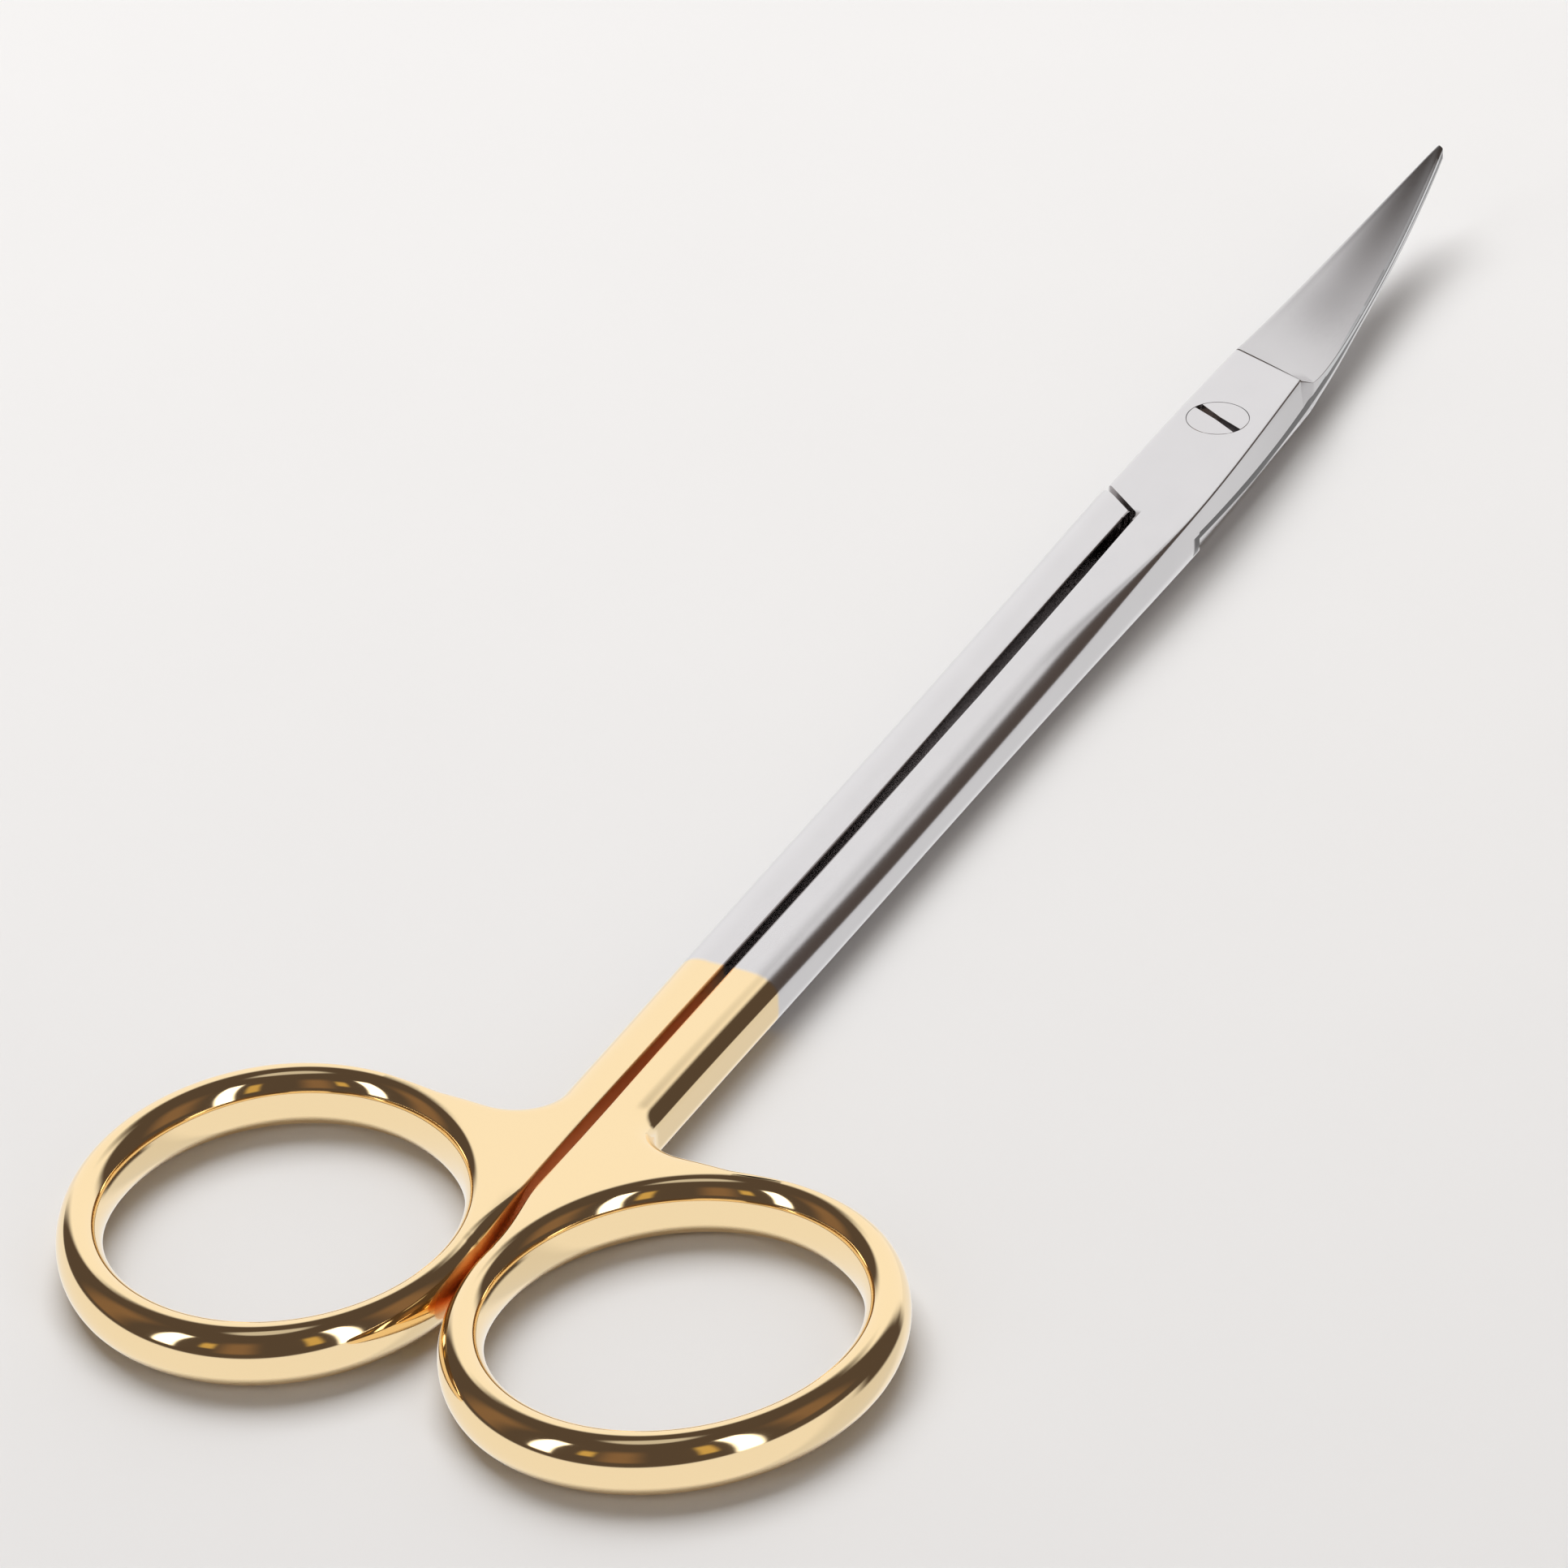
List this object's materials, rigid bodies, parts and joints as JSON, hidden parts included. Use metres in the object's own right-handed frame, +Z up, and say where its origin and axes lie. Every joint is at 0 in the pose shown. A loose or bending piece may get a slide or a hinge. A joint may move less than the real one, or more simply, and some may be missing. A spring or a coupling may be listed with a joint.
{
  "type": "kelly scissors",
  "caption": "Curved surgical scissors with slender shanks, gold-plated finger rings, a slotted pivot screw and hard-metal cutting strips; they open about the screw.",
  "frame": {"origin": "centre of the bounding box at the level of the surface that the scissors lie on", "axes": "+X towards the right finger ring, +Y from the rings to the blade tips, +Z up, the way the blades curve"},
  "size_m": [0.0538, 0.16, 0.0064],
  "materials": {
    "stainless_steel": "satin stainless steel on joint, shanks and blades; polished gold plating on the rings and the lower shanks",
    "hard_metal": "fine-ground hard metal",
    "screw_steel": "satin, flush with the joint"
  },
  "bodies": {
    "lower_blade_body": {"lower_half": "stainless_steel", "lower_cutting_strip": "hard_metal", "pivot_screw": "screw_steel"},
    "upper_blade_body": {"upper_half": "stainless_steel", "upper_cutting_strip": "hard_metal"}
  },
  "joints": [
    {"name": "pivot", "type": "hinge", "parent": "lower_blade_body", "child": "upper_blade_body", "pos_m": [0, 0.0421, 0.0022], "axis": [0, 0, 1], "range_deg": [0, 60]}
  ]
}
